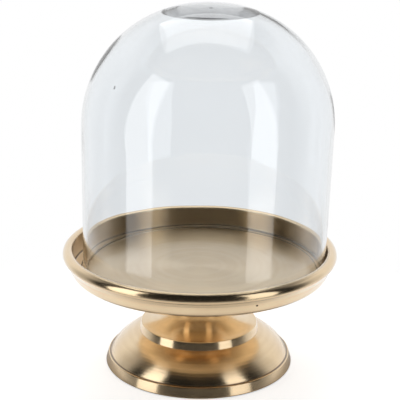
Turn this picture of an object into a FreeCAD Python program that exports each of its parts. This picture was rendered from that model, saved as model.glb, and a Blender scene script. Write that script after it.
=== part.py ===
"""Glass bell jar dome on a footed, turned metal tray.

The stand is three castings pulled together by one threaded rod: the tray, the trumpet neck with its
collar, and the hollow bell foot. The glass dome stands loose on the tray's floor. All heights are
measured from the surface that the four foot pads rest on, and all radii from the stand's axis.
"""
import FreeCAD, Part
import Sketcher
import math
import os
import re

# Driving dimensions in millimetres: alias, value, meaning.
DIMENSIONS = [
    ("pad_radius", 4.0, "foot pad radius"),
    ("pad_thickness", 1.5, "foot pad thickness"),
    ("pad_proud", 0.6, "how far the pads stand out below the foot"),
    ("pad_circle", 67.0, "radius of the circle the pads lie on"),
    ("pad_gap", 0.15, "gap round a pad in its recess"),
    ("foot_radius", 73.0, "outer radius of the foot's bottom edge"),
    ("foot_inner", 62.0, "inner radius of the foot ring"),
    ("foot_edge_round", 1.0, "rounding of the foot's bottom edge"),
    ("band_radius", 71.0, "radius at the top of the foot's band"),
    ("band_top", 8.6, "height of the top of the band"),
    ("band_edge", 0.4, "bevel at the top of the band"),
    ("bell_foot_radius", 69.3, "radius where the bell rises from the band"),
    ("bell_curve", 39.0, "radius of the bell's curve"),
    ("bell_wall", 4.0, "wall thickness of the bell"),
    ("bell_plate", 5.0, "thickness of the plate that closes the bell's top"),
    ("collar_radius", 46.7, "radius at the foot of the collar's side"),
    ("collar_foot", 27.3, "height of the joint between foot and collar"),
    ("collar_top", 33.1, "height of the top of the collar's side"),
    ("collar_taper", 1.4, "how much smaller the collar's radius is at that height"),
    ("collar_bevel", 0.5, "bevel on the collar's top edge"),
    ("register_radius", 38.0, "radius of the foot's register in the neck"),
    ("register_height", 2.5, "height of the register above the joint"),
    ("register_gap", 0.1, "clearance round a register"),
    ("hub_radius", 16.0, "radius of the bolting boss inside the foot"),
    ("hub_underside", 22.0, "height of the bolting boss's face"),
    ("waist_radius", 20.0, "smallest radius of the neck"),
    ("waist_height", 52.0, "height of the neck's waist"),
    ("flare_curve", 15.0, "radius of the lower flare next to the waist"),
    ("top_flare_curve", 30.0, "radius of the upper flare next to the waist"),
    ("flange_radius", 34.0, "radius of the neck's top flange"),
    ("flange_edge", 2.5, "height of the flange's edge"),
    ("core_radius", 16.0, "radius of the neck's cored hollow at its top"),
    ("core_height", 42.0, "height of that radius"),
    ("core_roof", 49.0, "height of the hollow's roof"),
    ("bore_radius", 4.5, "clearance bore for the rod"),
    ("tray_underside", 75.5, "height of the tray's underside"),
    ("floor_top", 79.0, "height of the tray's floor"),
    ("tray_inner", 98.0, "radius of the tray's inner wall"),
    ("floor_fillet", 1.5, "fillet between floor and wall"),
    ("tray_wall", 100.0, "outer radius at the foot of the tray's wall"),
    ("tray_round", 6.5, "rounding from underside to wall"),
    ("lip_centre_radius", 100.8, "radius of the lip bead's centre"),
    ("lip_centre_height", 91.2, "height of the lip bead's centre"),
    ("lip_bead", 4.4, "radius of the lip bead"),
    ("lip_bead_end", 50.0, "angle below level where the bead meets the wall"),
    ("lip_bevel", 0.5, "width of the bevel on the lip's inner edge"),
    ("lip_bevel_fall", 0.8, "height of that bevel"),
    ("ring_radius", 91.0, "radius of the turned line in the tray's floor"),
    ("ring_width", 0.8, "width of the turned line"),
    ("ring_depth", 0.4, "depth of the turned line"),
    ("boss_radius", 16.0, "radius of the tapped boss under the tray"),
    ("boss_height", 7.0, "height of the tapped boss"),
    ("thread_radius", 4.0, "radius of the rod's thread"),
    ("thread_roof", 76.5, "height of the blind tapped hole's end"),
    ("rod_bottom", 9.5, "height of the rod's lower end"),
    ("rod_top", 76.2, "height of the rod's upper end"),
    ("rod_bevel", 0.8, "bevel on the rod's ends"),
    ("washer_radius", 12.0, "outer radius of the flat washer"),
    ("washer_bore", 4.2, "bore radius of both washers"),
    ("washer_thickness", 2.0, "thickness of the flat washer"),
    ("spring_radius", 7.4, "outer radius of the spring washer"),
    ("spring_thickness", 2.0, "thickness of the spring washer"),
    ("spring_slit", 0.8, "width of the spring washer's slit"),
    ("spring_slant", 0.9, "sideways run of the slit through the thickness"),
    ("nut_width", 13.0, "nut across its flats"),
    ("nut_height", 6.5, "nut height"),
    ("nut_bevel_radius", 6.4, "radius where the nut's corner bevel starts"),
    ("nut_bevel_fall", 0.7, "height of the nut's corner bevel"),
    ("dome_shift", 3.5, "how far the dome stands off the stand's axis"),
    ("dome_foot_radius", 93.4, "outer radius of the glass at its rim"),
    ("dome_radius", 94.5, "outer radius of the glass at its shoulder"),
    ("glass_wall", 2.6, "thickness of the glass side"),
    ("rim_round", 0.9, "rounding of the polished rim"),
    ("dome_spring", 112.0, "height of the shoulder above the rim"),
    ("crown_rise", 90.4, "outer rise from shoulder to crown"),
    ("shoulder_curve", 90.0, "outer radius of the shoulder's curve"),
    ("crown_pad", 8.2, "thickness of the glass pad left in the crown"),
    ("crown_pad_round", 8.0, "rounding between the pad's flat face and the wall"),
]
PAD_COUNT = 4
FIRST_PAD_ANGLE = 45.0
CUTTER_MARGIN = 1.0

doc = FreeCAD.newDocument("bell_jar_dome")
sheet = doc.addObject("Spreadsheet::Sheet", "Dims")
for row, (alias, value, meaning) in enumerate(DIMENSIONS, start=1):
    sheet.set("A%d" % row, meaning)
    sheet.set("B%d" % row, str(value))
    sheet.setAlias("B%d" % row, alias)
doc.recompute()
ALIASES = {alias for alias, value, meaning in DIMENSIONS}


def bound(text):
    """Turn a formula of plain aliases into one that reads the sheet."""
    def expand(match):
        word = match.group()
        return "Dims." + word if word in ALIASES else word
    return re.sub(r"[a-z_]+", expand, text)


def value_of(text):
    """The present value of a formula of aliases."""
    return float(sheet.evalExpression(bound(text)))


# ---------------------------------------------------------------- sketches

def origin_part(body, role):
    """One of the body's own origin planes or axes."""
    return next(item for item in body.Origin.OriginFeatures if item.Role == role)


def new_sketch(body, name, role, lift="0"):
    """A sketch on one of the body's planes, lifted along the plane's normal."""
    sketch = body.newObject("Sketcher::SketchObject", name)
    sketch.AttachmentSupport = [(origin_part(body, role), "")]
    sketch.MapMode = "FlatFace"
    if lift != "0":
        sketch.setExpression("AttachmentOffset.Base.z", bound(lift))
    return sketch


def add_bound(sketch, kind, *where, formula):
    """A dimension in the sketch that follows the sheet."""
    index = sketch.addConstraint(Sketcher.Constraint(kind, *where, value_of(formula)))
    sketch.setExpression("Constraints[%d]" % index, bound(formula))


def fix_point(sketch, edge, end, across, up):
    """Hold a sketch point at two coordinates given as formulas."""
    if across == "0":
        sketch.addConstraint(Sketcher.Constraint("PointOnObject", edge, end, -2))
    else:
        add_bound(sketch, "DistanceX", -1, 1, edge, end, formula=across)
    if up == "0":
        sketch.addConstraint(Sketcher.Constraint("PointOnObject", edge, end, -1))
    else:
        add_bound(sketch, "DistanceY", -1, 1, edge, end, formula=up)


def arc_between(start, end, radius, bend):
    """The shorter arc from start to end, drawn anticlockwise; bend is +1 turning left, -1 right."""
    run = end - start
    left = FreeCAD.Vector(-run.y, run.x, 0).normalize()
    depth = math.sqrt(max(radius * radius - (run.Length / 2) ** 2, 0.0))
    centre = (start + end) * 0.5 + left * bend * depth
    first, last = (start, end) if bend > 0 else (end, start)
    first_angle = math.atan2(first.y - centre.y, first.x - centre.x)
    last_angle = math.atan2(last.y - centre.y, last.x - centre.x)
    if last_angle < first_angle:
        last_angle += 2 * math.pi
    circle = Part.Circle(centre, FreeCAD.Vector(0, 0, 1), radius)
    return Part.ArcOfCircle(circle, first_angle, last_angle)


def draw_outline(sketch, steps):
    """Draw a closed outline.

    A step is (across, up) for a straight line to that point, or (across, up, radius, bend) for an
    arc to it. All but bend are formulas.
    """
    points = [FreeCAD.Vector(value_of(step[0]), value_of(step[1]), 0) for step in steps]
    edges = []
    for number, step in enumerate(steps):
        start = points[number - 1]
        end = points[number]
        if len(step) == 2:
            edge = sketch.addGeometry(Part.LineSegment(start, end), False)
            edges.append((edge, 1, 2))
        else:
            curve = arc_between(start, end, value_of(step[2]), step[3])
            edge = sketch.addGeometry(curve, False)
            add_bound(sketch, "Radius", edge, formula=step[2])
            edges.append((edge, 1, 2) if step[3] > 0 else (edge, 2, 1))
    for number, step in enumerate(steps):
        edge, first, last = edges[number]
        following, following_first, following_last = edges[(number + 1) % len(edges)]
        sketch.addConstraint(Sketcher.Constraint("Coincident", edge, last, following, following_first))
        fix_point(sketch, edge, last, step[0], step[1])


def arch(spring, crown, spring_radius, climbing):
    """Two tangent arcs between an upright and a level tangent.

    spring is the point with the upright tangent, crown the one with the level tangent, and the arc
    next to spring has spring_radius. climbing is +1 when the crown lies above the spring.
    Returns the point where the arcs meet and the radius of the arc next to the crown.
    """
    side = 1 if value_of(crown[0]) > value_of(spring[0]) else -1
    reach = "(%d * (%s - %s))" % (side, crown[0], spring[0])
    rise = "(%d * (%s - %s))" % (climbing, crown[1], spring[1])
    crown_radius = "((({0} - {1})^2 + {2}^2 - {1}^2) / (2 * ({2} - {1})))".format(
        reach, spring_radius, rise)
    spring_centre = "(%s + %d * %s)" % (spring[0], side, spring_radius)
    crown_centre = "(%s - %d * %s)" % (crown[1], climbing, crown_radius)
    share = "({0} / ({0} - {1}))".format(crown_radius, spring_radius)
    meeting_across = "({0} + ({1} - {0}) * {2})".format(crown[0], spring_centre, share)
    meeting_up = "({0} + ({1} - {0}) * {2})".format(crown_centre, spring[1], share)
    return (meeting_across, meeting_up), crown_radius


# ---------------------------------------------------------------- features

def new_body(name):
    body = doc.addObject("PartDesign::Body", name)
    body.Label = name
    return body


def turned(name, steps):
    """A body turned about its upright axis from a closed outline."""
    body = new_body(name)
    sketch = new_sketch(body, name + "_outline", "XZ_Plane")
    draw_outline(sketch, steps)
    turn = body.newObject("PartDesign::Revolution", name + "_turned")
    turn.Profile = (sketch, [""])
    turn.ReferenceAxis = (sketch, ["V_Axis"])
    turn.Angle = 360
    doc.recompute()
    return body


def turned_cut(body, name, steps):
    """Cut a turned outline out of the body and make sure that it removed something."""
    before = body.Shape.Volume
    sketch = new_sketch(body, name + "_outline", "XZ_Plane")
    draw_outline(sketch, steps)
    groove = body.newObject("PartDesign::Groove", name)
    groove.Profile = (sketch, [""])
    groove.ReferenceAxis = (sketch, ["V_Axis"])
    groove.Angle = 360
    doc.recompute()
    require_less(body, before, name)


def require_less(body, before, name):
    if not body.Shape.Volume < before:
        raise RuntimeError(name + " removed nothing")


def ring_pad(name, outer, inner, height):
    """A flat ring standing on the body's own origin."""
    body = new_body(name)
    sketch = new_sketch(body, name + "_ring", "XY_Plane")
    for radius in (outer, inner):
        circle = Part.Circle(FreeCAD.Vector(0, 0, 0), FreeCAD.Vector(0, 0, 1), value_of(radius))
        edge = sketch.addGeometry(circle, False)
        sketch.addConstraint(Sketcher.Constraint("Coincident", edge, 3, -1, 1))
        add_bound(sketch, "Radius", edge, formula=radius)
    pad = body.newObject("PartDesign::Pad", name + "_pad")
    pad.Profile = (sketch, [""])
    pad.setExpression("Length", bound(height))
    doc.recompute()
    return body


def place(body, across="0", along="0", up="0"):
    """Put a body where three formulas say."""
    for axis, formula in (("x", across), ("y", along), ("z", up)):
        if formula != "0":
            body.setExpression("Placement.Base." + axis, bound(formula))


# ---------------------------------------------------------------- pieces

def make_base_bell():
    """Hollow bell foot: foot ring, band, bell and the hub that carries the nut."""
    inner_curve = "(bell_curve - bell_wall)"
    foot = ("bell_foot_radius", "band_top")
    shoulder = ("collar_radius", "collar_foot")
    half_run = "(sqrt(({0} - {2})^2 + ({3} - {1})^2) / 2)".format(*foot, *shoulder)
    depth = "sqrt(bell_curve^2 - {0}^2)".format(half_run)
    centre_across = "(({0} + {2}) / 2 - ({3} - {1}) / (2 * {4}) * {5})".format(
        *foot, *shoulder, half_run, depth)
    centre_up = "(({1} + {3}) / 2 - ({0} - {2}) / (2 * {4}) * {5})".format(
        *foot, *shoulder, half_run, depth)
    plate_underside = "(collar_foot + register_height - bell_plate)"
    inner_top_across = "({0} + sqrt({1}^2 - ({2} - {3})^2))".format(
        centre_across, inner_curve, plate_underside, centre_up)
    inner_foot_up = "({0} + sqrt({1}^2 - (foot_inner - {2})^2))".format(
        centre_up, inner_curve, centre_across)
    body = turned("base_bell", [
        ("foot_inner", "pad_proud"),
        ("foot_radius - foot_edge_round", "pad_proud"),
        ("foot_radius", "pad_proud + foot_edge_round", "foot_edge_round", 1),
        ("band_radius", "band_top - band_edge"),
        ("band_radius - band_edge", "band_top"),
        foot,
        (*shoulder, "bell_curve", 1),
        ("register_radius", "collar_foot"),
        ("register_radius", "collar_foot + register_height"),
        ("bore_radius", "collar_foot + register_height"),
        ("bore_radius", "hub_underside"),
        ("hub_radius", "hub_underside"),
        ("hub_radius", plate_underside),
        (inner_top_across, plate_underside),
        ("foot_inner", inner_foot_up, inner_curve, -1),
    ])
    cut_pad_recesses(body)
    return body


def pad_centre(angle):
    """Formulas for the place of the pad at this angle."""
    return "pad_circle * cos(%g deg)" % angle, "pad_circle * sin(%g deg)" % angle


def cut_pad_recesses(body):
    """Shallow round recesses in the foot ring, one for each pad."""
    before = body.Shape.Volume
    sketch = new_sketch(body, "pad_recess_circle", "XY_Plane", "pad_proud")
    across, along = pad_centre(FIRST_PAD_ANGLE)
    centre = FreeCAD.Vector(value_of(across), value_of(along), 0)
    radius = "pad_radius + pad_gap"
    circle = Part.Circle(centre, FreeCAD.Vector(0, 0, 1), value_of(radius))
    edge = sketch.addGeometry(circle, False)
    add_bound(sketch, "Radius", edge, formula=radius)
    fix_point(sketch, edge, 3, across, along)
    recess = body.newObject("PartDesign::Pocket", "pad_recess")
    recess.Profile = (sketch, [""])
    recess.Reversed = True
    recess.setExpression("Length", bound("pad_thickness - pad_proud"))
    doc.recompute()
    require_less(body, before, "pad_recess")
    before = body.Shape.Volume
    pattern = body.newObject("PartDesign::PolarPattern", "pad_recesses")
    pattern.Originals = [recess]
    pattern.Axis = (origin_part(body, "Z_Axis"), [""])
    pattern.Angle = 360
    pattern.Occurrences = PAD_COUNT
    body.Tip = pattern
    doc.recompute()
    require_less(body, before, "pad_recesses")


def make_foot_pads():
    """Round rubber pads with a softened lower edge."""
    pads = []
    for number in range(PAD_COUNT):
        angle = FIRST_PAD_ANGLE + number * 360.0 / PAD_COUNT
        pad = turned("foot_pad_%d" % (number + 1), [
            ("0", "0"),
            ("pad_radius - pad_proud / 2", "0"),
            ("pad_radius", "pad_proud / 2", "pad_proud / 2", 1),
            ("pad_radius", "pad_thickness"),
            ("0", "pad_thickness"),
        ])
        place(pad, *pad_centre(angle))
        pads.append(pad)
    return pads


def make_neck():
    """Trumpet neck: collar, lower flare, waist, upper flare and top flange, cored from below."""
    waist = ("waist_radius", "waist_height")
    collar_edge = ("(collar_radius - collar_taper - collar_bevel)", "(collar_top + collar_bevel)")
    flange = ("flange_radius", "(tray_underside - flange_edge)")
    lower_meeting, lower_curve = arch(waist, collar_edge, "flare_curve", -1)
    upper_meeting, upper_curve = arch(waist, flange, "top_flare_curve", 1)
    socket = "boss_radius + register_gap"
    socket_floor = "tray_underside - boss_height - register_gap"
    roof = "collar_foot + register_height + register_gap"
    return turned("neck", [
        ("register_radius + register_gap", "collar_foot"),
        ("collar_radius", "collar_foot"),
        ("collar_radius - collar_taper", "collar_top"),
        collar_edge,
        (*lower_meeting, lower_curve, -1),
        (*waist, "flare_curve", -1),
        (*upper_meeting, "top_flare_curve", -1),
        (*flange, upper_curve, -1),
        ("flange_radius", "tray_underside"),
        (socket, "tray_underside"),
        (socket, socket_floor),
        ("bore_radius", socket_floor),
        ("bore_radius", "core_roof"),
        ("core_radius - bell_wall", "core_roof"),
        ("core_radius", "core_height"),
        ("register_radius - bell_wall / 2", roof),
        ("register_radius + register_gap", roof),
    ])


def make_tray():
    """Tray: flat floor, upright inner wall, rolled lip, and a tapped boss under the centre."""
    bead_foot_across = "(lip_centre_radius + lip_bead * cos(lip_bead_end * 1deg))"
    bead_foot_up = "(lip_centre_height - lip_bead * sin(lip_bead_end * 1deg))"
    bevel_across = "(tray_inner + lip_bevel)"
    bevel_up = "(lip_centre_height + sqrt(lip_bead^2 - ({0} - lip_centre_radius)^2))".format(bevel_across)
    outermost = ("lip_centre_radius + lip_bead", "lip_centre_height")
    top = ("lip_centre_radius", "lip_centre_height + lip_bead")
    body = turned("tray", [
        ("0", "thread_roof"),
        ("thread_radius", "thread_roof"),
        ("thread_radius", "tray_underside - boss_height"),
        ("boss_radius", "tray_underside - boss_height"),
        ("boss_radius", "tray_underside"),
        ("tray_wall - tray_round", "tray_underside"),
        ("tray_wall", "tray_underside + tray_round", "tray_round", 1),
        (bead_foot_across, bead_foot_up),
        (*outermost, "lip_bead", 1),
        (*top, "lip_bead", 1),
        (bevel_across, bevel_up, "lip_bead", 1),
        ("tray_inner", "%s - lip_bevel_fall" % bevel_up),
        ("tray_inner", "floor_top + floor_fillet"),
        ("tray_inner - floor_fillet", "floor_top", "floor_fillet", -1),
        ("0", "floor_top"),
    ])
    turned_cut(body, "ring_line", [
        ("ring_radius - ring_width / 2", "floor_top"),
        ("ring_radius", "floor_top - ring_depth"),
        ("ring_radius + ring_width / 2", "floor_top"),
    ])
    return body


def make_tie_rod():
    """Threaded rod, shown as a plain shaft of the thread's outer size with bevelled ends."""
    return turned("tie_rod", [
        ("0", "rod_bottom"),
        ("thread_radius - rod_bevel", "rod_bottom"),
        ("thread_radius", "rod_bottom + rod_bevel"),
        ("thread_radius", "rod_top - rod_bevel"),
        ("thread_radius - rod_bevel", "rod_top"),
        ("0", "rod_top"),
    ])


def make_flat_washer():
    """Large flat washer that bears on the hub."""
    body = ring_pad("flat_washer", "washer_radius", "washer_bore", "washer_thickness")
    place(body, up="hub_underside - washer_thickness")
    return body


def make_spring_washer():
    """Spring washer pressed flat, with its slanted slit."""
    body = ring_pad("spring_washer", "spring_radius", "washer_bore", "spring_thickness")
    before = body.Shape.Volume
    sketch = new_sketch(body, "spring_slit_outline", "YZ_Plane")
    over = "spring_thickness + {0}".format(CUTTER_MARGIN)
    draw_outline(sketch, [
        ("-spring_slant / 2 - spring_slit / 2", "0"),
        ("-spring_slant / 2 + spring_slit / 2", "0"),
        ("spring_slant / 2 + spring_slit / 2", over),
        ("spring_slant / 2 - spring_slit / 2", over),
    ])
    slit = body.newObject("PartDesign::Pocket", "spring_slit_cut")
    slit.Profile = (sketch, [""])
    slit.setExpression("Length", bound("spring_radius + {0}".format(CUTTER_MARGIN)))
    doc.recompute()
    require_less(body, before, "spring_slit_cut")
    place(body, up="hub_underside - washer_thickness - spring_thickness")
    return body


def draw_hexagon(sketch, corner_radius):
    """A regular hexagon round the sketch's origin, with a corner on the level axis."""
    reach = value_of(corner_radius)
    corners = [FreeCAD.Vector(reach * math.cos(math.radians(60 * k)),
                              reach * math.sin(math.radians(60 * k)), 0) for k in range(6)]
    circle = Part.Circle(FreeCAD.Vector(0, 0, 0), FreeCAD.Vector(0, 0, 1), reach)
    guide = sketch.addGeometry(circle, True)
    sketch.addConstraint(Sketcher.Constraint("Coincident", guide, 3, -1, 1))
    add_bound(sketch, "Radius", guide, formula=corner_radius)
    sides = [sketch.addGeometry(Part.LineSegment(corners[k], corners[(k + 1) % 6]), False)
             for k in range(6)]
    for k in range(6):
        sketch.addConstraint(Sketcher.Constraint("Coincident", sides[k], 2, sides[(k + 1) % 6], 1))
        sketch.addConstraint(Sketcher.Constraint("PointOnObject", sides[k], 1, guide))
    for k in range(1, 6):
        sketch.addConstraint(Sketcher.Constraint("Equal", sides[0], sides[k]))
    sketch.addConstraint(Sketcher.Constraint("PointOnObject", sides[0], 1, -1))


def make_hex_nut():
    """Hexagon nut with bevelled corners on both faces."""
    corner_radius = "(nut_width / sqrt(3))"
    body = new_body("hex_nut")
    sketch = new_sketch(body, "hex_nut_hexagon", "XY_Plane")
    draw_hexagon(sketch, corner_radius)
    pad = body.newObject("PartDesign::Pad", "hex_nut_pad")
    pad.Profile = (sketch, [""])
    pad.setExpression("Length", bound("nut_height"))
    doc.recompute()
    turned_cut(body, "hex_nut_bore", [
        ("0", "0"),
        ("thread_radius", "0"),
        ("thread_radius", "nut_height"),
        ("0", "nut_height"),
    ])
    clear = corner_radius + " + {0}".format(CUTTER_MARGIN)
    turned_cut(body, "hex_nut_lower_bevel", [
        ("nut_bevel_radius", "0"),
        (clear, "0"),
        (clear, "nut_bevel_fall"),
        (corner_radius, "nut_bevel_fall"),
    ])
    turned_cut(body, "hex_nut_upper_bevel", [
        ("nut_bevel_radius", "nut_height"),
        (corner_radius, "nut_height - nut_bevel_fall"),
        (clear, "nut_height - nut_bevel_fall"),
        (clear, "nut_height"),
    ])
    place(body, up="hub_underside - washer_thickness - spring_thickness - nut_height")
    return body


def make_glass_dome():
    """Blown glass dome: even wall, slightly conical side, and a solid pad of glass in the crown."""
    spring = ("dome_radius", "dome_spring")
    crown = ("0", "(dome_spring + crown_rise)")
    meeting, crown_curve = arch(spring, crown, "shoulder_curve", 1)
    inner_curve = "(shoulder_curve - glass_wall)"
    centre_across = "(dome_radius - shoulder_curve)"
    pad_face = "(dome_spring + crown_rise - crown_pad)"
    round_up = "(crown_rise - crown_pad - crown_pad_round)"
    round_across = "sqrt(({0} - crown_pad_round)^2 - {1}^2)".format(inner_curve, round_up)
    share = "({0} / ({0} - crown_pad_round))".format(inner_curve)
    pad_edge = ("({0} + {1} * {2})".format(centre_across, round_across, share),
                "(dome_spring + {0} * {1})".format(round_up, share))
    rim_inner = "dome_foot_radius - glass_wall"
    body = turned("glass_dome", [
        (rim_inner + " + rim_round", "0", "rim_round", 1),
        ("dome_foot_radius - rim_round", "0"),
        ("dome_foot_radius", "rim_round", "rim_round", 1),
        spring,
        (*meeting, "shoulder_curve", 1),
        (*crown, crown_curve, 1),
        ("0", pad_face),
        ("({0} + {1})".format(centre_across, round_across), pad_face),
        (*pad_edge, "crown_pad_round", -1),
        ("(dome_radius - glass_wall)", "dome_spring", inner_curve, -1),
        (rim_inner, "rim_round"),
    ])
    place(body, across="dome_shift", up="floor_top")
    return body


# ---------------------------------------------------------------- build and write

def check_and_write(pieces):
    """Stop on any failed object, then write each piece as a STEP file."""
    doc.recompute()
    for item in doc.Objects:
        if "Invalid" in item.State or "Error" in item.State:
            raise RuntimeError("failed object: " + item.Name)
    os.makedirs("parts", exist_ok=True)
    for piece in pieces:
        shape = piece.Shape
        if shape.isNull() or not shape.isValid() or len(shape.Solids) != 1:
            raise RuntimeError("bad shape: " + piece.Label)
        shape.exportStep(os.path.join("parts", piece.Label + ".step"))
        box = shape.BoundBox
        print("%-14s %9.0f mm3  x %.1f..%.1f  z %.2f..%.2f" % (
            piece.Label, shape.Volume, box.XMin, box.XMax, box.ZMin, box.ZMax))


check_and_write([
    make_glass_dome(),
    make_tray(),
    make_neck(),
    make_base_bell(),
    make_tie_rod(),
    make_flat_washer(),
    make_spring_washer(),
    make_hex_nut(),
    *make_foot_pads(),
])
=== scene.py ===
"""Looks of the bell jar dome: turned brass-toned stand, hand-blown glass dome, steel fasteners."""
import bpy
import math
from mathutils import Matrix, Vector, noise


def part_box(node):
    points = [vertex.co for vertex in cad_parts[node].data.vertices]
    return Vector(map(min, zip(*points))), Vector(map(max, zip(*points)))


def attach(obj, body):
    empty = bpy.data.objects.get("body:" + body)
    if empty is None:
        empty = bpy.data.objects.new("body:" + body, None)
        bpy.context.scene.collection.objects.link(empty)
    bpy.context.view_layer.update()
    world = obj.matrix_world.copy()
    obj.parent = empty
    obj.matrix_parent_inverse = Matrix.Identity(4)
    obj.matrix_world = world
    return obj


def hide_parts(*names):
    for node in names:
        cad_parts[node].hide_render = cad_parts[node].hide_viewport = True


MM = 0.001
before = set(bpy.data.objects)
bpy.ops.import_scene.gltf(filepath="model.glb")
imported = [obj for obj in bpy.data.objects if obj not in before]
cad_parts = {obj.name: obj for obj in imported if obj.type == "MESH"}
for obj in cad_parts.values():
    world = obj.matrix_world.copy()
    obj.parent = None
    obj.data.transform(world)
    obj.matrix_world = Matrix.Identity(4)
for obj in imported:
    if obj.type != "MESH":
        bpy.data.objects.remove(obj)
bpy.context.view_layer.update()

# ---------------------------------------------------------------- places read from the frame

tray_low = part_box("tray")[0]
neck_low, neck_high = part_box("neck")
foot_low, foot_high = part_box("base_bell")
dome_low, dome_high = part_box("glass_dome")
rod_low, rod_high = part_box("tie_rod")
TRAY_UNDERSIDE = neck_high.z
FLOOR_TOP = dome_low.z
DOME_CENTRE_X = (dome_low.x + dome_high.x) / 2
DOME_RADIUS = (dome_high.x - dome_low.x) / 2
DOME_SPRING = FLOOR_TOP + 112 * MM

# ---------------------------------------------------------------- outlines

ON_AXIS = 1e-9
CORNER_TURN = math.radians(14)
CORNER_STEPS = 4
CORNER_SHARE = 0.4
EDGE_ROUND = 0.3 * MM
SAME_PLACE = 0.01 * MM
HOLD = 0.25 * MM
LONG_RUN = 6 * HOLD


def arc_points(start, end, radius, bend, step):
    """Points after start up to end along the shorter arc; bend is +1 turning left, -1 right."""
    run = end - start
    left = Vector((-run.y, run.x)).normalized()
    depth = math.sqrt(max(radius * radius - (run.length / 2) ** 2, 0.0))
    centre = (start + end) / 2 + left * bend * depth
    first = math.atan2(start.y - centre.y, start.x - centre.x)
    sweep = 2 * math.asin(min(1.0, run.length / (2 * radius))) * bend
    count = max(2, math.ceil(abs(sweep) / step))
    turns = [first + sweep * k / count for k in range(1, count + 1)]
    return [centre + radius * Vector((math.cos(t), math.sin(t))) for t in turns]


def arch(spring, crown, spring_radius, climbing):
    """Two arcs that meet without a corner, upright at the spring and level at the crown.

    Returns their meeting point and the crown arc's radius. climbing is 1 upwards, -1 downwards.
    """
    side = 1 if crown.x > spring.x else -1
    reach = side * (crown.x - spring.x)
    rise = climbing * (crown.y - spring.y)
    r = spring_radius
    big = ((reach - r) ** 2 + rise ** 2 - r ** 2) / (2 * (rise - r))
    spring_centre = Vector((spring.x + side * r, spring.y))
    crown_centre = Vector((crown.x, crown.y - climbing * big))
    return crown_centre + (spring_centre - crown_centre) * big / (big - r), big


def outline_points(steps, arc_step=math.radians(4)):
    """Corners and arcs in millimetres as one closed list of points in metres.

    A step is (radius, height) or (radius, height, arc radius, bend).
    """
    corners = [Vector(step[:2]) * MM for step in steps]
    points = []
    for number, step in enumerate(steps):
        if len(step) == 2:
            points.append(corners[number])
        else:
            radius, bend = step[2:]
            points += arc_points(corners[number - 1], corners[number], radius * MM, bend, arc_step)
    return points


def soften(points, radius, joints=()):
    """Round each sharp corner off the axis, as polishing leaves it, but keep tight joints crisp."""
    softened = []
    count = len(points)
    for number, corner in enumerate(points):
        before = points[number - 1] - corner
        after = points[(number + 1) % count] - corner
        turn = math.pi - before.angle(after)
        at_joint = any((corner - Vector(joint) * MM).length < SAME_PLACE for joint in joints)
        if corner.x < ON_AXIS or turn < CORNER_TURN or at_joint:
            softened.append(corner)
            continue
        room = CORNER_SHARE * min(before.length, after.length)
        reach = min(radius * math.tan(turn / 2), room)
        start = corner + before.normalized() * reach
        end = corner + after.normalized() * reach
        for k in range(CORNER_STEPS + 1):
            t = k / CORNER_STEPS
            softened.append(start * (1 - t) ** 2 + corner * 2 * t * (1 - t) + end * t * t)
    return softened


def held(points):
    """Add a point close to both ends of each long run, so that shading stays flat between them."""
    kept = []
    count = len(points)
    for number, point in enumerate(points):
        run = points[(number + 1) % count] - point
        kept.append(point)
        if run.length > LONG_RUN:
            kept.append(point + run.normalized() * HOLD)
            kept.append(point + run * 0.5)
            kept.append(point + run - run.normalized() * HOLD)
    return kept


def refined(points, wanted, spacing):
    """Divide the runs whose middle is wanted, so that they can follow a small shape."""
    divided = []
    count = len(points)
    for number, point in enumerate(points):
        run = points[(number + 1) % count] - point
        parts = math.ceil(run.length / spacing) if wanted(point + run / 2) else 1
        divided += [point + run * k / parts for k in range(parts)]
    return divided


# ---------------------------------------------------------------- meshes

def even_angles(count):
    return [2 * math.pi * k / count for k in range(count)]


def lathe(points, angles, centre_x=0.0, warp=None):
    """Vertices and faces of an outline turned about an upright axis.

    The outline runs anticlockwise, so that the faces look outwards. warp(place, number) may move
    each vertex of the outline's point of that number.
    """
    verts = []
    rings = []
    for number, point in enumerate(points):
        turns = angles[:1] if point.x < ON_AXIS else angles
        places = [Vector((centre_x + point.x * math.cos(t), point.x * math.sin(t), point.y))
                  for t in turns]
        rings.append(range(len(verts), len(verts) + len(places)))
        verts += [warp(place, number) for place in places] if warp else places
    faces = []
    for number, ring in enumerate(rings):
        following = rings[(number + 1) % len(rings)]
        if len(ring) == 1 and len(following) == 1:
            continue
        for k in range(len(angles)):
            n = (k + 1) % len(angles)
            corners = [ring[k % len(ring)], ring[n % len(ring)],
                       following[n % len(following)], following[k % len(following)]]
            faces.append(list(dict.fromkeys(corners)))
    return verts, faces


def hollow_ellipsoid(centre, axes, rows, columns):
    """An ellipsoid whose faces look inwards: the wall of a bubble in something solid."""
    across, along, through = axes
    verts = [centre + along]
    for row in range(1, rows):
        lean = math.pi * row / rows
        for t in even_angles(columns):
            ring = across * math.cos(t) + through * math.sin(t)
            verts.append(centre + along * math.cos(lean) + ring * math.sin(lean))
    verts.append(centre - along)
    last = len(verts) - 1
    bottom = 1 + (rows - 2) * columns
    faces = []
    for k in range(columns):
        n = (k + 1) % columns
        faces.append([0, 1 + n, 1 + k])
        faces.append([last, bottom + k, bottom + n])
        for row in range(rows - 2):
            upper = 1 + row * columns
            lower = upper + columns
            faces.append([upper + k, upper + n, lower + n, lower + k])
    return verts, faces


def new_object(name, verts, faces, material):
    mesh = bpy.data.meshes.new(name)
    mesh.from_pydata(verts, [], faces)
    mesh.validate()
    for polygon in mesh.polygons:
        polygon.use_smooth = True
    mesh.materials.append(material)
    thing = bpy.data.objects.new(name, mesh)
    bpy.context.scene.collection.objects.link(thing)
    return thing


def add_piece(name, shape, material, body, node):
    """A finished piece that rides on a body and stands for one CAD node."""
    piece = new_object(name, *shape, material)
    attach(piece, body)
    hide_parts(node)


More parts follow.
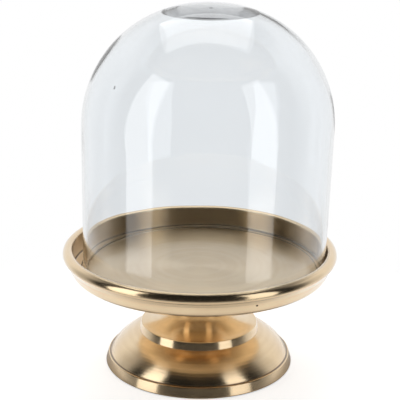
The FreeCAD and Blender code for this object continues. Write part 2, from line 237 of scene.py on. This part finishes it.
# ---------------------------------------------------------------- node helpers

class Graph:
    """A node tree with short names for the patterns that the materials share."""

    def __init__(self, tree):
        self.tree = tree

    def add(self, kind, **settings):
        node = self.tree.nodes.new(kind)
        for key, value in settings.items():
            setattr(node, key, value)
        return node

    def feed(self, target, value):
        """Give a socket a number, a colour without its alpha, or another node's output."""
        if isinstance(value, (int, float)):
            target.default_value = value
        elif isinstance(value, tuple):
            target.default_value = (*value, 1.0)
        else:
            self.tree.links.new(value, target)

    def math(self, operation, *values):
        node = self.add("ShaderNodeMath", operation=operation)
        for socket, value in zip(node.inputs, values):
            self.feed(socket, value)
        return node.outputs[0]

    def length(self, first, second):
        """The length of the hypotenuse over two sides."""
        square = self.math("MULTIPLY", first, first)
        return self.math("SQRT", self.math("MULTIPLY_ADD", second, second, square))

    def place(self, kind):
        """Object: the place on the piece. Generated, in a world: the direction looked in."""
        return self.add("ShaderNodeTexCoord").outputs[kind]

    def split(self, vector):
        node = self.add("ShaderNodeSeparateXYZ")
        self.feed(node.inputs[0], vector)
        return tuple(node.outputs)

    def combine(self, *values):
        node = self.add("ShaderNodeCombineXYZ")
        for socket, value in zip(node.inputs, values):
            self.feed(socket, value)
        return node.outputs[0]

    def noise(self, vector, scale, detail=3.0, roughness=0.5, distortion=0.0):
        node = self.add("ShaderNodeTexNoise")
        self.feed(node.inputs["Vector"], vector)
        node.inputs["Scale"].default_value = scale
        node.inputs["Detail"].default_value = detail
        node.inputs["Roughness"].default_value = roughness
        node.inputs["Distortion"].default_value = distortion
        return node.outputs[0]

    def spread(self, value, low, high, to_low, to_high):
        """A smooth step from to_low at low to to_high at high."""
        node = self.add("ShaderNodeMapRange", interpolation_type="SMOOTHSTEP")
        self.feed(node.inputs["Value"], value)
        node.inputs["From Min"].default_value = low
        node.inputs["From Max"].default_value = high
        node.inputs["To Min"].default_value = to_low
        node.inputs["To Max"].default_value = to_high
        return node.outputs[0]

    def mix(self, share, first, second):
        """A colour between first and second."""
        node = self.add("ShaderNodeMix", data_type="RGBA")
        self.feed(node.inputs[0], share)
        self.feed(node.inputs[6], first)
        self.feed(node.inputs[7], second)
        return node.outputs[2]

    def bump(self, height, distance):
        node = self.add("ShaderNodeBump")
        self.feed(node.inputs["Height"], height)
        node.inputs["Distance"].default_value = distance
        return node.outputs[0]

    def bounced(self, path):
        """1 for what reflections and matt surfaces receive.

        It is 0 for what is seen directly or through the glass.
        """
        depth = self.math("ADD", path["Diffuse Depth"], path["Glossy Depth"])
        return self.math("GREATER_THAN", depth, 0.5)


def new_material(name):
    material = bpy.data.materials.new(name)
    material.use_nodes = True
    return material, Graph(material.node_tree), material.node_tree.nodes["Principled BSDF"]


def set_constants(shader, **values):
    """Plain numbers straight onto the shader's sockets."""
    for key, value in values.items():
        shader.inputs[key.replace("_", " ")].default_value = value


# ---------------------------------------------------------------- materials
# The scales of the noises are counts for each metre.

BRASS = (0.85, 0.66, 0.42)
BRASS_DEEP = (0.77, 0.56, 0.33)
# The deep brown below is partly patina and partly painted shade, put into the turned corners, the
# joints and the casting pit.
PATINA_AND_SHADE = (0.16, 0.10, 0.055)
DEEPEST_TONE = 0.5
LATHE_PITCH = 0.25 * MM
LATHE_DEPTH = 0.0025 * MM
BAND_SCALE = 240.0
CLOUD_SCALE = 36.0
POLISHED = 0.17
LESS_POLISHED = 0.23
SATIN_EXTRA = 0.12
DIRT_EXTRA = 0.15
CREASE_REACH = 1.1 * MM
CREASE_DIRT_AND_SHADE = 0.85
PIT_HALF_WIDTH = 1.3 * MM
PIT_DIRT_AND_SHADE = 0.97

GLASS_TINTS = ((0.966, 0.985, 1.0), (0.960, 0.980, 0.996))
GLASS_IOR = 1.5
GLASS_HAZE = 0.012
GLASS_DEPTH_TINT = (0.80, 0.805, 0.81, 1.0)
GLASS_DENSITY = 46.0

ZINC_TINTS = ((0.66, 0.67, 0.68), (0.52, 0.53, 0.56))
RUBBER_TINTS = ((0.035, 0.035, 0.036), (0.06, 0.058, 0.055))


def brass_dirt_and_shade(n, place, creases, pit):
    """The share of dirt and painted shade in the turned corners, at the joints and in a casting
    pit.
    """
    x, y, z = n.split(place)
    radius = n.length(x, y)
    dirt_and_shade = 0.0
    # Each turned corner is darkened near its line: painted shade, with some dirt.
    for crease_radius, crease_height in creases:
        across = n.math("SUBTRACT", radius, crease_radius)
        away = n.length(across, n.math("SUBTRACT", z, crease_height))
        here = n.spread(away, 0.25 * CREASE_REACH, CREASE_REACH, CREASE_DIRT_AND_SHADE, 0.0)
        dirt_and_shade = n.math("MAXIMUM", dirt_and_shade, here)
    # The casting pit is darkened too: painted shade, with some dirt.
    if pit is not None:
        level = n.length(n.math("SUBTRACT", x, pit.x), n.math("SUBTRACT", y, pit.y))
        away = n.length(level, n.math("SUBTRACT", z, pit.z))
        here = n.spread(away, 0.5 * PIT_HALF_WIDTH, 1.1 * PIT_HALF_WIDTH, PIT_DIRT_AND_SHADE, 0.0)
        dirt_and_shade = n.math("MAXIMUM", dirt_and_shade, here)
    return dirt_and_shade


def brass_material(name, creases, satin_inside=None, pit=None):
    """Lacquered satin brass-toned metal with turning lines round the axis.

    creases are (radius, height) of the turned corners where polish and dirt stay and where
    shade is painted in as a darker colour. satin_inside is (radius, height) of a hollow that was
    left less polished: all within and above it. pit is the place of a casting pit with dirt and
    painted shade in it.
    """
    material, n, shader = new_material(name)
    place = n.place("Object")
    x, y, z = n.split(place)
    radius = n.length(x, y)
    section = n.combine(radius, z, 0.0)
    lines = n.noise(section, 1 / LATHE_PITCH, 2.0, 0.65)
    bands = n.noise(section, BAND_SCALE)
    cloud = n.noise(place, CLOUD_SCALE, 4.0, 0.55, 0.4)
    dirt_and_shade = brass_dirt_and_shade(n, place, creases, pit)
    tone = n.math("ADD", n.math("MULTIPLY", bands, 0.5), n.math("MULTIPLY", cloud, 0.5))
    colour = n.mix(n.spread(tone, 0.38, 0.66, 0.0, DEEPEST_TONE), BRASS, BRASS_DEEP)
    # The base colour goes to the deep brown in the corners and the pit: painted shade with dirt.
    n.feed(shader.inputs["Base Color"], n.mix(dirt_and_shade, colour, PATINA_AND_SHADE))
    rough = n.math("ADD", n.spread(bands, 0.3, 0.7, POLISHED, LESS_POLISHED),
                   n.spread(cloud, 0.35, 0.7, -0.01, 0.03))
    rough = n.math("MULTIPLY_ADD", dirt_and_shade, DIRT_EXTRA, rough)
    if satin_inside is not None:
        hollow_radius, hollow_floor = satin_inside
        within = n.spread(radius, hollow_radius, hollow_radius + 0.6 * MM, 1.0, 0.0)
        above = n.spread(z, hollow_floor - 0.9 * MM, hollow_floor - 0.2 * MM, 0.0, SATIN_EXTRA)
        rough = n.math("MULTIPLY_ADD", within, above, rough)
    n.feed(shader.inputs["Roughness"], rough)
    tangent = n.add("ShaderNodeTangent", direction_type="RADIAL", axis="Z")
    n.feed(shader.inputs["Tangent"], tangent.outputs[0])
    n.feed(shader.inputs["Normal"], n.bump(lines, LATHE_DEPTH))
    set_constants(shader, Metallic=1.0, Anisotropic=0.85, Anisotropic_Rotation=0.25,
                  Coat_Weight=1.0, Coat_Roughness=0.14, Coat_IOR=1.4)
    return material


def glass_material():
    """Clear glass that takes a little light over its thickness, with a faint haze in places."""
    material, n, shader = new_material("clear_glass")
    cloud = n.noise(n.place("Object"), 14.0, 2.0)
    n.feed(shader.inputs["Base Color"], n.mix(cloud, *GLASS_TINTS))
    n.feed(shader.inputs["Roughness"], n.spread(cloud, 0.4, 0.8, 0.0, GLASS_HAZE))
    set_constants(shader, Metallic=0.0, IOR=GLASS_IOR, Transmission_Weight=1.0)
    absorption = n.add("ShaderNodeVolumeAbsorption")
    absorption.inputs["Color"].default_value = GLASS_DEPTH_TINT
    absorption.inputs["Density"].default_value = GLASS_DENSITY
    n.feed(material.node_tree.nodes["Material Output"].inputs["Volume"], absorption.outputs[0])
    return material


def steel_material():
    """Zinc plated steel."""
    material, n, shader = new_material("zinc_plated_steel")
    place = n.place("Object")
    grain = n.noise(place, 900.0, 3.0, 0.6)
    cloud = n.noise(place, 120.0)
    n.feed(shader.inputs["Base Color"], n.mix(cloud, *ZINC_TINTS))
    n.feed(shader.inputs["Roughness"], n.spread(grain, 0.3, 0.7, 0.28, 0.42))
    n.feed(shader.inputs["Normal"], n.bump(grain, 0.01 * MM))
    set_constants(shader, Metallic=1.0)
    return material


def rubber_material():
    """Matt black rubber with a fine moulded grain."""
    material, n, shader = new_material("pad_rubber")
    place = n.place("Object")
    grain = n.noise(place, 2400.0, 3.0, 0.6)
    cloud = n.noise(place, 200.0, 2.0)
    n.feed(shader.inputs["Base Color"], n.mix(cloud, *RUBBER_TINTS))
    n.feed(shader.inputs["Roughness"], n.spread(grain, 0.3, 0.7, 0.6, 0.8))
    n.feed(shader.inputs["Normal"], n.bump(grain, 0.03 * MM))
    return material


# ---------------------------------------------------------------- the pit in the tray's wall

WALL_RADIUS = 100 * MM
OUTER_WALL = 0.99 * WALL_RADIUS
PIT_HEIGHT = 83.7 * MM
PIT_ANGLE = math.radians(-66.4)
PIT_HALF_HEIGHT = 0.9 * MM
PIT_DEPTH = 0.7 * MM
PIT_SPACING = 0.2 * MM


def near_pit(point):
    return point.x > OUTER_WALL and abs(point.y - PIT_HEIGHT) < 1.6 * PIT_HALF_HEIGHT


def pit_angles(count):
    """Even angles, with closer ones across the pit."""
    half = 1.3 * PIT_HALF_WIDTH / WALL_RADIUS
    middle = PIT_ANGLE + 2 * math.pi
    steps = math.ceil(2 * half * WALL_RADIUS / PIT_SPACING)
    close = [middle - half + 2 * half * k / steps for k in range(steps + 1)]
    even = [t for t in even_angles(count) if abs(t - middle) > 1.5 * half]
    return sorted(even + close)


def pitted(place):
    """Sink the small casting pit into the tray's outer wall."""
    reach = math.hypot(place.x, place.y)
    across = (math.atan2(place.y, place.x) - PIT_ANGLE) * reach / PIT_HALF_WIDTH
    up = (place.z - PIT_HEIGHT) / PIT_HALF_HEIGHT
    distance = math.hypot(across, up)
    if reach < OUTER_WALL or distance >= 1:
        return place
    kept = 1 - PIT_DEPTH * math.cos(distance * math.pi / 2) ** 2 / reach
    return Vector((place.x * kept, place.y * kept, place.z))


# ---------------------------------------------------------------- the stand's castings
# The numbers in the outlines are millimetres: radius, height.

UNDERSIDE = TRAY_UNDERSIDE / MM
FLOOR = FLOOR_TOP / MM
ROD_RADIUS = 4.0
ROD_HOLE = 4.5
INNER_WALL = 98.0
COLLAR_JOINT = (46.7, neck_low.z / MM)


def tray_wall():
    """The tray's outer wall and its rolled lip, from the underside up to the lip's inner edge.

    The round at the bottom stops before it is upright and runs on straight to the wall's middle,
    so that no crease shows.
    """
    foot_round = 6.5
    stop = math.radians(25)
    lip_radius, lip_height, lip = 100.8, 91.2, 4.4
    lip_start = math.radians(50)
    bevel_radius = 98.5
    bevel_height = lip_height + math.sqrt(lip ** 2 - (bevel_radius - lip_radius) ** 2)
    wall_foot = Vector((WALL_RADIUS / MM, UNDERSIDE + foot_round))
    round_end = wall_foot - foot_round * Vector((1 - math.cos(stop), math.sin(stop)))
    wall_top = Vector((lip_radius + lip * math.cos(lip_start),
                       lip_height - lip * math.sin(lip_start)))
    return [
        (wall_foot.x - foot_round, UNDERSIDE),
        (*round_end, foot_round, 1),
        tuple(wall_foot.lerp(wall_top, 0.50)),
        tuple(wall_top),
        (lip_radius + lip, lip_height, lip, 1),
        (lip_radius, lip_height + lip, lip, 1),
        (bevel_radius, bevel_height, lip, 1),
        (INNER_WALL, bevel_height - 0.8),
    ]


def make_tray():
    boss_radius = 16.0
    boss_foot = tray_low.z / MM
    thread_top = 76.5
    floor_round = 1.5
    ring_line = 91.0
    ring_depth = 0.4
    points = outline_points([
        (0.0, thread_top),
        (ROD_RADIUS, thread_top),
        (ROD_RADIUS, boss_foot),
        (boss_radius, boss_foot),
        (boss_radius, UNDERSIDE),
        *tray_wall(),
        (INNER_WALL, FLOOR + floor_round),
        (INNER_WALL - floor_round, FLOOR, floor_round, -1),
        (ring_line + ring_depth, FLOOR),
        (ring_line, FLOOR - ring_depth),
        (ring_line - ring_depth, FLOOR),
        (0.0, FLOOR),
    ])
    points = refined(held(soften(points, EDGE_ROUND)), near_pit, PIT_SPACING)
    # Painted shade with some dirt along the dome's ring groove and the inner wall's foot, and in
    # the pit.
    creases = [(ring_line * MM, FLOOR_TOP - 0.3 * MM), (97.6 * MM, FLOOR_TOP + 0.4 * MM)]
    pit = Vector((WALL_RADIUS * math.cos(PIT_ANGLE), WALL_RADIUS * math.sin(PIT_ANGLE), PIT_HEIGHT))
    hollow = (98.2 * MM, FLOOR_TOP)
    brass = brass_material("turned_brass_tray", creases, satin_inside=hollow, pit=pit)
    shape = lathe(points, pit_angles(320), warp=lambda place, number: pitted(place))
    add_piece("tray_casting", shape, brass, "stand", "tray")


def make_neck():
    waist = Vector((20.0, 52.0))
    waist_below = 15.0
    waist_above = 30.0
    collar = Vector((44.8, 33.6))
    collar_bevel = 0.5
    flange = Vector((34.0, UNDERSIDE - 2.5))
    socket = 16.1
    socket_floor = UNDERSIDE - 7.1
    core_top = 49.0
    register = 38.1
    foot = neck_low.z / MM
    register_top = foot + 2.6
    lower, collar_radius = arch(waist, collar, waist_below, -1)
    upper, flange_radius = arch(waist, flange, waist_above, 1)
    points = outline_points([
        (register, foot),
        COLLAR_JOINT,
        (collar.x + collar_bevel, collar.y - collar_bevel),
        tuple(collar),
        (*lower, collar_radius, -1),
        (*waist, waist_below, -1),
        (*upper, waist_above, -1),
        (*flange, flange_radius, -1),
        (flange.x, UNDERSIDE),
        (socket, UNDERSIDE),
        (socket, socket_floor),
        (ROD_HOLE, socket_floor),
        (ROD_HOLE, core_top),
        (12.0, core_top),
        (16.0, 42.0),
        (36.0, register_top),
        (register, register_top),
    ])
    # A crease of painted shade with some dirt where the neck meets the tray's underside.
    brass = brass_material("turned_brass_neck", [(flange.x * MM, TRAY_UNDERSIDE)])
    shape = lathe(held(soften(points, EDGE_ROUND, [COLLAR_JOINT])), even_angles(256))
    add_piece("neck_casting", shape, brass, "stand", "neck")


def make_foot():
    bell_centre = Vector((34.963, -9.892))
    outer = 39.0
    inner = 35.0
    hub_radius = 16.0
    hub_foot = 22.0
    register = 38.0
    plate = foot_high.z / MM - 5.0
    ring_inside = 62.0
    ring_outside = 73.0
    ring_round = 1.0
    band_radius = 71.0
    band_top = 8.6
    band_bevel = 0.4
    bell_edge = 69.3
    inner_top = bell_centre.x + math.sqrt(inner ** 2 - (plate - bell_centre.y) ** 2)
    inner_foot = bell_centre.y + math.sqrt(inner ** 2 - (ring_inside - bell_centre.x) ** 2)
    low = foot_low.z / MM
    points = outline_points([
        (ring_inside, low),
        (ring_outside - ring_round, low),
        (ring_outside, low + ring_round, ring_round, 1),
        (band_radius, band_top - band_bevel),
        (band_radius - band_bevel, band_top),
        (bell_edge, band_top),
        (*COLLAR_JOINT, outer, 1),
        (register, neck_low.z / MM),
        (register, foot_high.z / MM),
        (ROD_HOLE, foot_high.z / MM),
        (ROD_HOLE, hub_foot),
        (hub_radius, hub_foot),
        (hub_radius, plate),
        (inner_top, plate),
        (ring_inside, inner_foot, inner, -1),
    ])
    # A crease of painted shade with some dirt at the ledge between the band and the bell.
    brass = brass_material("turned_brass_foot", [(69.5 * MM, 8.7 * MM)])
    shape = lathe(held(soften(points, EDGE_ROUND, [COLLAR_JOINT])), even_angles(256))
    add_piece("foot_casting", shape, brass, "stand", "base_bell")


# ---------------------------------------------------------------- the threaded rod

THREAD_PITCH = 1.25 * MM
THREAD_CREST = 4.0 * MM
THREAD_ROOT = 3.35 * MM
FLANK_STEEPNESS = 1.25
END_BEVEL = 0.8 * MM
ROWS_PER_PITCH = 8


def thread_radius(along, length, t):
    """The rod's radius at a distance along it and an angle: one rise and fall for each pitch.

    A flank steeper than 1 leaves the crest flat.
    """
    turn = (along / THREAD_PITCH - t / (2 * math.pi)) % 1
    flank = min(1.0, FLANK_STEEPNESS * abs(2 * turn - 1))
    from_end = min(along, length - along)
    thread = THREAD_ROOT + (THREAD_CREST - THREAD_ROOT) * flank
    return min(thread, THREAD_CREST - END_BEVEL + from_end)


def make_rod(material):
    """The M8 rod with its thread cut."""
    angles = even_angles(36)
    count = len(angles)
    length = rod_high.z - rod_low.z
    rows = math.ceil(length / THREAD_PITCH * ROWS_PER_PITCH)
    verts = []
    for row in range(rows + 1):
        along = length * row / rows
        for t in angles:
            reach = thread_radius(along, length, t)
            verts.append(Vector((reach * math.cos(t), reach * math.sin(t), rod_low.z + along)))
    faces = [list(reversed(range(count))), [rows * count + k for k in range(count)]]
    for row in range(rows):
        low = row * count
        high = low + count
        for k in range(count):
            n = (k + 1) % count
            faces.append([low + k, low + n, high + n, high + k])
    add_piece("threaded_rod", (verts, faces), material, "stand", "tie_rod")


# ---------------------------------------------------------------- the glass dome

DOME_LEAN = math.tan(math.radians(0.7))
BUBBLE_ANGLE = math.radians(-140.9)
BUBBLE_HEIGHT = 229.8 * MM
BUBBLE_DEPTH = 1.35 * MM
BUBBLE_ACROSS = 0.8 * MM
BUBBLE_ALONG = 1.25 * MM
BUBBLE_THROUGH = 0.5 * MM


def climb(height, low, high):
    """0 up to low, 1 from high up, and even between them."""
    return min(1.0, max(0.0, (height - low) / (high - low)))


def blown(place, inner):
    """The slight lean and unevenness of a hand-blown dome.

    The rim stays true. The thickness varies most near the crown.
    """
    centre = Vector((DOME_CENTRE_X, 0, min(place.z, DOME_SPRING)))
    out = (place - centre).normalized()
    height = place.z - FLOOR_TOP
    move = (noise.noise(place * 8) - 1) * 0.25 * MM
    if inner:
        unevenness = 0.10 + 0.40 * climb(height, 70 * MM, 160 * MM)
        move += noise.noise(place * 30 + Vector((3.1, 7.7, 1.3))) * unevenness * MM
    return place + out * move * climb(height, 0, 20 * MM) + Vector((height * DOME_LEAN, 0, 0))


def bubble(wall_centre, radius):
    """A seed left in the wall: a small air bubble drawn out along the glass."""
    lean = math.asin((BUBBLE_HEIGHT - wall_centre.y) / radius)
    outward = Vector((math.cos(BUBBLE_ANGLE), math.sin(BUBBLE_ANGLE), 0))
    normal = outward * math.cos(lean) + Vector((0, 0, math.sin(lean)))
    across = Vector((-outward.y, outward.x, 0))
    along = normal.cross(across)
    middle = Vector((DOME_CENTRE_X, 0, wall_centre.y)) + outward * wall_centre.x
    centre = blown(middle + normal * (radius - BUBBLE_DEPTH), False)
    axes = (across * BUBBLE_ACROSS, along * BUBBLE_ALONG, normal * BUBBLE_THROUGH)
    return hollow_ellipsoid(centre, axes, 12, 18)


def dome_outline(shoulder, shoulder_centre):
    """The dome's wall, with the thick pad of glass left in its crown."""
    wall = 2.6
    rim = 93.4
    rim_round = 0.9
    pad = 8.2
    pad_round = 8.0
    radius = DOME_RADIUS / MM
    inner = shoulder - wall
    spring = Vector((radius, DOME_SPRING / MM))
    crown = Vector((0.0, dome_high.z / MM))
    meeting, crown_radius = arch(spring, crown, shoulder, 1)
    pad_face = crown.y - pad
    round_up = pad_face - pad_round - spring.y
    round_across = math.sqrt((inner - pad_round) ** 2 - round_up ** 2)
    round_centre = shoulder_centre + Vector((round_across, round_up))
    pad_edge = shoulder_centre + (round_centre - shoulder_centre) * inner / (inner - pad_round)
    return outline_points([
        (rim - wall + rim_round, FLOOR, rim_round, 1),
        (rim - rim_round, FLOOR),
        (rim, FLOOR + rim_round, rim_round, 1),
        tuple(spring),
        (*meeting, shoulder, 1),
        (*crown, crown_radius, 1),
        (0.0, pad_face),
        (round_centre.x, pad_face),
        (*pad_edge, pad_round, -1),
        (radius - wall, spring.y, inner, -1),
        (rim - wall, FLOOR + rim_round),
    ], math.radians(2))


def make_dome(material):
    shoulder = 90.0
    shoulder_centre = Vector((DOME_RADIUS / MM - shoulder, DOME_SPRING / MM))
    points = dome_outline(shoulder, shoulder_centre)
    points = refined(points, lambda middle: middle.x > ON_AXIS, 5 * MM)
    first_inner = max(number for number, point in enumerate(points) if point.x < ON_AXIS)
    verts, faces = lathe(points, even_angles(288), DOME_CENTRE_X,
                         lambda place, number: blown(place, number >= first_inner))
    seed_verts, seed_faces = bubble(shoulder_centre * MM, shoulder * MM)
    faces += [[corner + len(verts) for corner in face] for face in seed_faces]
    add_piece("blown_dome", (verts + seed_verts, faces), material, "dome", "glass_dome")


# ---------------------------------------------------------------- studio

WHITE = (1.0, 1.0, 1.0)
TABLE_RADIUS = 0.28
TABLE_TINTS = ((0.80, 0.80, 0.80), (0.82, 0.82, 0.82))


def room_walls(n, x, y):
    """How light the room's walls are: dark in front, pale at the sides and nearly white behind.

    The turn away from the front is 0 in front and 180 degrees behind. The right side starts
    further forward than the left.
    """
    turn = n.math("ARCTAN2", n.math("ABSOLUTE", x), n.math("MULTIPLY", y, -1.0))
    sides = n.spread(turn, math.radians(88), math.radians(108), 0.0, 0.5)
    forward = n.spread(turn, math.radians(75), math.radians(100), 0.0, 0.2)
    right = n.math("MULTIPLY", forward, n.spread(x, 0.0, 0.2, 0.0, 1.0))
    behind = n.spread(turn, math.radians(108), math.radians(135), 0.0, 0.4)
    return n.math("MINIMUM", n.math("ADD", n.math("ADD", sides, right), behind), 0.9)


def make_world():
    """A white surround to the eye. Through the glass it gets darker with height.

    Reflections see a room instead, whose walls get darker overhead too.
    """
    world = bpy.data.worlds.new("studio")
    bpy.context.scene.world = world
    world.use_nodes = True
    n = Graph(world.node_tree)
    x, y, z = n.split(n.place("Generated"))
    room = n.math("MULTIPLY_ADD", room_walls(n, x, y), n.spread(z, 0.50, 0.80, 1.0, 0.22), 0.012)
    path = n.add("ShaderNodeLightPath").outputs
    bounced = n.bounced(path)
    through = n.math("MAXIMUM", path["Is Camera Ray"], n.spread(z, -0.12, 0.40, 1.0, 0.05))
    seen = n.math("MULTIPLY", through, n.math("SUBTRACT", 1.0, bounced))
    background = world.node_tree.nodes["Background"]
    n.feed(background.inputs["Strength"], n.math("MULTIPLY_ADD", room, bounced, seen))
    n.feed(background.inputs["Color"], WHITE)


def table_material():
    """A pale matt top that reads white, with the stand's shade under it.

    To the eye it fades out into the white surround. Reflections see only its middle, which glows
    for them away from the stand and stays dark under it: a painted shadow.
    """
    material, n, shader = new_material("pale_floor")
    place = n.place("Object")
    x, y = n.split(place)[:2]
    reach = n.length(x, y)
    n.feed(shader.inputs["Base Color"], n.mix(n.noise(place, 60.0), *TABLE_TINTS))
    set_constants(shader, Roughness=0.8)
    bounced = n.bounced(n.add("ShaderNodeLightPath").outputs)
    seen = n.math("MULTIPLY", n.math("SUBTRACT", 1.0, bounced), 0.70)
    # Painted shadow: for reflections the top glows only away from the stand, and not under it.
    reflected = n.math("MULTIPLY", bounced, n.spread(reach, 0.085, 0.13, 0.0, 0.58))
    n.feed(shader.inputs["Emission Color"], WHITE)
    n.feed(shader.inputs["Emission Strength"], n.math("ADD", seen, reflected))
    clear_reflected = n.spread(reach, 0.14, 0.26, 0.0, 1.0)
    clear_seen = n.spread(reach, 0.20, TABLE_RADIUS, 0.0, 1.0)
    change = n.math("SUBTRACT", clear_reflected, clear_seen)
    clear = n.add("ShaderNodeBsdfTransparent")
    blend = n.add("ShaderNodeMixShader")
    n.feed(blend.inputs[0], n.math("MULTIPLY_ADD", bounced, change, clear_seen))
    n.feed(blend.inputs[1], shader.outputs[0])
    n.feed(blend.inputs[2], clear.outputs[0])
    n.feed(material.node_tree.nodes["Material Output"].inputs["Surface"], blend.outputs[0])
    return material


def make_floor():
    """A round table top just under the foot pads."""
    height = -0.02 * MM
    verts = [Vector((TABLE_RADIUS * math.cos(t), TABLE_RADIUS * math.sin(t), height))
             for t in even_angles(96)]
    new_object("studio_floor", verts, [list(range(len(verts)))], table_material())


def softbox(name, place, target, width, height, radiance):
    """A flat lamp of even radiance, kept out of direct sight."""
    light = bpy.data.lights.new(name, "AREA")
    light.shape = "RECTANGLE"
    light.size = width
    light.size_y = height
    light.energy = radiance * math.pi * width * height
    thing = bpy.data.objects.new(name, light)
    bpy.context.scene.collection.objects.link(thing)
    thing.location = place
    thing.rotation_mode = "QUATERNION"
    thing.rotation_quaternion = (Vector(target) - Vector(place)).to_track_quat("-Z", "Y")
    thing.visible_camera = False


def make_lights():
    """Two tall soft boxes in front, left and right, and one flat overhead."""
    reach = 1.6
    middle = 0.55
    height = 2.6
    for name, side, turn, width, radiance in (("box_left", -1, 62, 0.76, 1.6),
                                              ("box_right", 1, 50, 0.72, 1.25)):
        angle = math.radians(turn)
        place = (side * reach * math.sin(angle), -reach * math.cos(angle), middle)
        softbox(name, place, (0, 0, middle), width, height, radiance)
    over_x, over_y, over_z = -0.07, 0.82, 1.55
    softbox("box_overhead", (over_x, over_y, over_z), (over_x, over_y, 0.0), 1.4, 1.55, 1.2)


def make_camera():
    """A long lens that looks down on the stand from the front, held very slightly askew."""
    down = math.radians(17.39)
    askew = math.radians(0.65)
    place = (-0.0003, -0.866, 0.4028)
    camera = bpy.data.cameras.new("camera")
    camera.lens = 107.2
    camera.sensor_width = 36.0
    camera.clip_end = 20.0
    thing = bpy.data.objects.new("camera", camera)
    bpy.context.scene.collection.objects.link(thing)
    pitch = Matrix.Rotation(math.radians(90) - down, 4, "X")
    roll = Matrix.Rotation(askew, 4, "Z")
    thing.matrix_world = Matrix.Translation(place) @ pitch @ roll
    bpy.context.scene.camera = thing


def set_output_look():
    """Plain colours, and enough bounces for light to get through both walls of the glass."""
    scene = bpy.context.scene
    scene.view_settings.view_transform = "Standard"
    scene.cycles.use_denoising = True
    scene.cycles.max_bounces = 24
    scene.cycles.transmission_bounces = 20
    scene.cycles.glossy_bounces = 10
    scene.cycles.transparent_max_bounces = 16


def give_material(node_name, material):
    """Put a material on a CAD node that is shown as it is."""
    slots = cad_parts[node_name].data.materials
    slots.clear()
    slots.append(material)


steel = steel_material()
rubber = rubber_material()
make_tray()
make_neck()
make_foot()
make_rod(steel)
make_dome(glass_material())
for fastener in ("flat_washer", "spring_washer", "hex_nut"):
    give_material(fastener, steel)
for number in range(1, 5):
    give_material("foot_pad_%d" % number, rubber)

make_world()
make_floor()
make_lights()
make_camera()
set_output_look()
